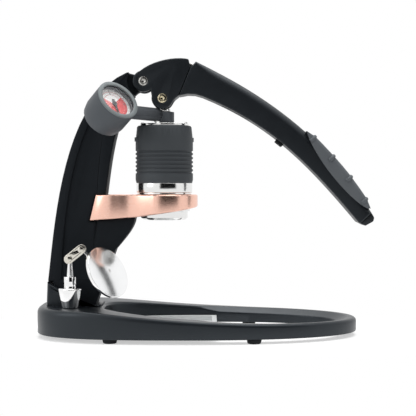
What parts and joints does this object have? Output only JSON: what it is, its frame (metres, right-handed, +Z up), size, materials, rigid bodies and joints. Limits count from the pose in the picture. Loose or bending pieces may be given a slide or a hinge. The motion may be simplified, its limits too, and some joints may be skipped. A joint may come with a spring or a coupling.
{
  "type": "manual lever espresso maker",
  "caption": "Manual lever espresso maker: oval cast base, bowed post, curved press lever, sleeved brew cylinder in a copper yoke, stem pressure gauge and magnetic shot mirror.",
  "frame": {"origin": "centre of the object's box seen from above, on the table under the rubber feet", "axes": "+Z up, +X from the post towards the tip of the lever, +Y across the base, away from the gauge and the mirror"},
  "size_m": [0.32, 0.15, 0.2634],
  "materials": {
    "black_cast": "satin powder coat",
    "black_rubber": "matt",
    "black_plastic": "fine grain",
    "tray_steel": "brushed",
    "zinc_steel": "zinc plated",
    "bronze": "machined",
    "copper": "satin copper plate",
    "polished_steel": "polished",
    "perforated_steel": "perforated",
    "grey_silicone": "matt silicone",
    "red_rubber": "matt",
    "grey_plastic": "matt",
    "dial_face": "printed",
    "needle_paint": "painted",
    "clear_lens": "clear",
    "grey_rubber": "soft touch",
    "chrome": "polished",
    "nickel": "nickel plated",
    "mirror_silver": "convex mirror"
  },
  "bodies": {
    "stand": {"base_frame": "black_cast", "base_feet": "black_rubber", "drip_tray": "tray_steel", "post": "black_cast", "post_screws": "zinc_steel", "post_bush": "bronze", "portafilter_yoke": "copper", "portafilter_cup": "polished_steel", "filter_basket": "perforated_steel", "dispersion_screen": "perforated_steel", "cylinder_gasket": "black_rubber", "brew_cylinder": "polished_steel", "cylinder_sleeve": "grey_silicone", "cylinder_cap": "polished_steel", "mirror_foot": "chrome", "mirror_sleeve": "chrome", "mirror_post": "chrome"},
    "piston": {"piston": "black_plastic", "piston_seal": "red_rubber"},
    "stem": {"piston_stem": "polished_steel", "gauge_collar": "grey_plastic", "gauge_neck": "grey_plastic", "gauge_housing": "grey_plastic", "gauge_movement": "bronze", "gauge_dial": "dial_face", "gauge_lens": "clear_lens", "gauge_bezel": "grey_plastic"},
    "needle": {"gauge_needle": "needle_paint"},
    "lever": {"lever_head": "black_cast", "lever_tenon": "zinc_steel", "lever_arm": "black_cast", "lever_underplate": "black_plastic", "lever_grip": "grey_rubber", "lever_bumper": "black_rubber", "lever_tip": "black_plastic", "pivot_bolt": "zinc_steel", "pivot_nut": "zinc_steel", "roller_bolt": "bronze", "roller_nut": "bronze"},
    "roller": {"press_roller": "polished_steel"},
    "mirror_link": {"mirror_link": "nickel", "mirror_link_screws": "nickel"},
    "mirror_arm": {"mirror_arm": "chrome"},
    "mirror": {"mirror_back": "chrome", "mirror_glass": "mirror_silver"}
  },
  "joints": [
    {"name": "lever_lift", "type": "hinge", "parent": "stand", "child": "lever", "pos_m": [-0.05948, 0, 0.2415], "axis": [0, -1, 0], "range_deg": [0, 64]},
    {"name": "roller_turn", "type": "hinge", "parent": "lever", "child": "roller", "pos_m": [-0.0415, 0, 0.22531], "axis": [0, 1, 0], "continuous": true},
    {"name": "piston_slide", "type": "slide", "parent": "stand", "child": "piston", "axis": [0, 0, 1], "range_m": [0, 0.0245]},
    {"name": "gauge_turn", "type": "hinge", "parent": "piston", "child": "stem", "pos_m": [-0.04, 0, 0.2], "axis": [0, 0, 1], "range_deg": [0, 35.9]},
    {"name": "needle_swing", "type": "hinge", "parent": "stem", "child": "needle", "pos_m": [-0.0885, -0.044, 0.21211], "axis": [-0.5602, 0.6102, -0.5602], "range_deg": [0, 270], "stiffness_Nm_per_rad": 0.0005},
    {"name": "mirror_link_tilt", "type": "hinge", "parent": "stand", "child": "mirror_link", "pos_m": [-0.1272, -0.034, 0.0744], "axis": [0, -1, 0], "range_deg": [-8, 45]},
    {"name": "mirror_arm_tilt", "type": "hinge", "parent": "mirror_link", "child": "mirror_arm", "pos_m": [-0.11601, -0.034, 0.08346], "axis": [0, -1, 0], "range_deg": [-8, 60]},
    {"name": "mirror_tilt", "type": "hinge", "parent": "mirror_arm", "child": "mirror", "pos_m": [-0.099, -0.034, 0.065], "axis": [0.5875, 0.8092, 0], "range_deg": [-10, 15]}
  ],
  "couplings": [
    {"joint": "piston_slide", "follows": "lever_lift", "m_per_rad": 0.0219},
    {"joint": "gauge_turn", "follows": "lever_lift", "ratio": 0.56}
  ]
}
